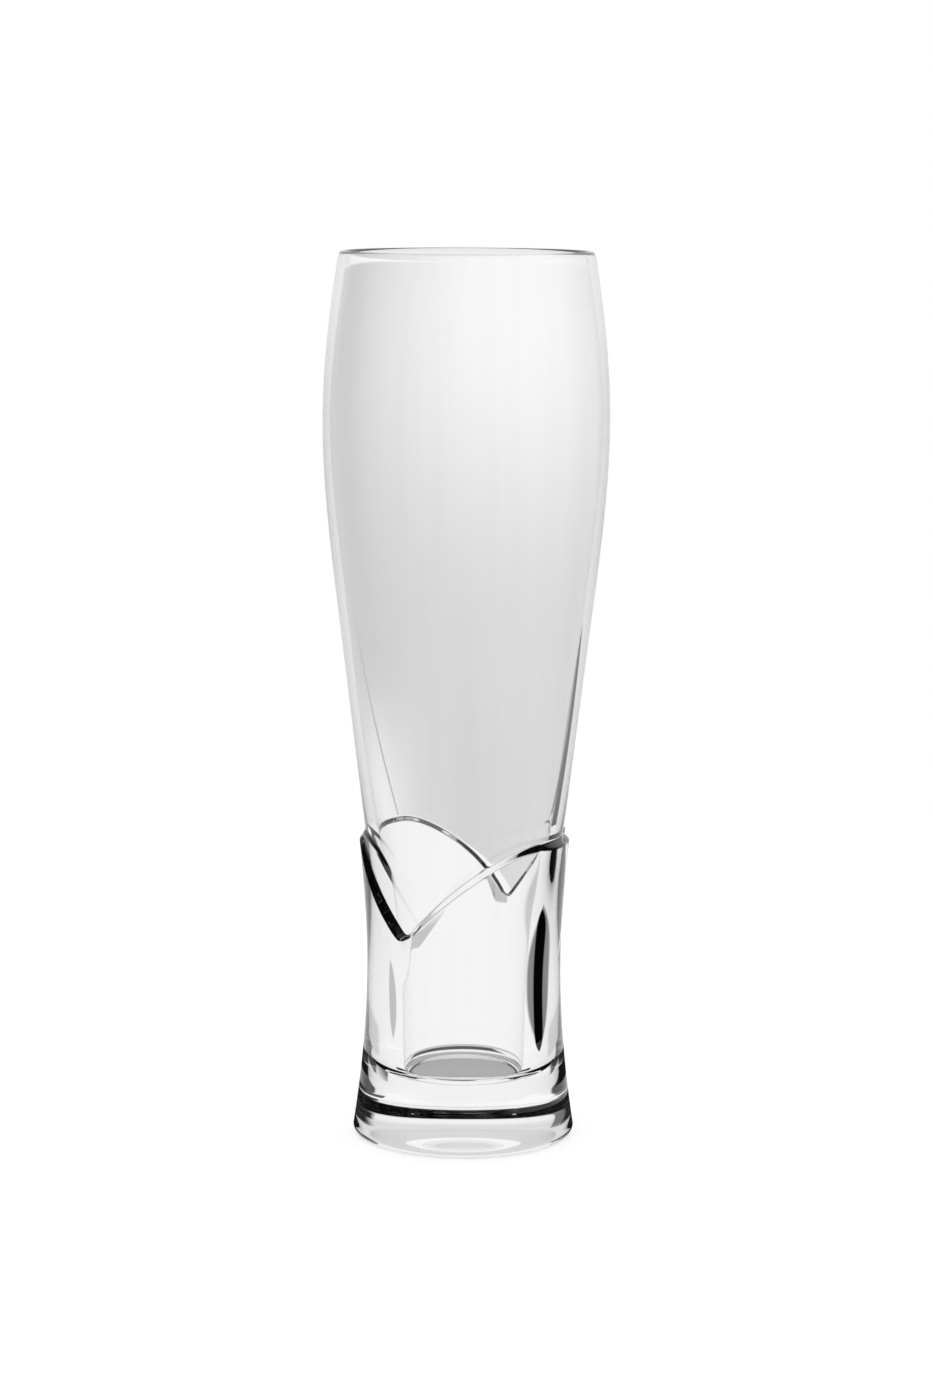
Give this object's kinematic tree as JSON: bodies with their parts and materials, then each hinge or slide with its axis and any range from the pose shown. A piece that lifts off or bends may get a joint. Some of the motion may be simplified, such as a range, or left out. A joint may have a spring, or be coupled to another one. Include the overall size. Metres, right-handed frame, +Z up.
{
  "type": "wheat beer glass",
  "caption": "Tall clear drinking glass with a full round bowl, a thick shank wrapped by overlapping waves in relief, and a heavy solid base.",
  "frame": {"origin": "on the table, at the middle of the foot ring", "axes": "+Z up along the glass's axis, -Y towards the viewer of the picture, +X to the viewer's right"},
  "size_m": [0.08, 0.08, 0.25],
  "materials": {
    "glass": "clear and glossy, fire-polished"
  },
  "bodies": {
    "root": {"foot_ring": "glass", "base": "glass", "shank": "glass", "taper": "glass", "belly": "glass", "rim": "glass"}
  },
  "joints": []
}
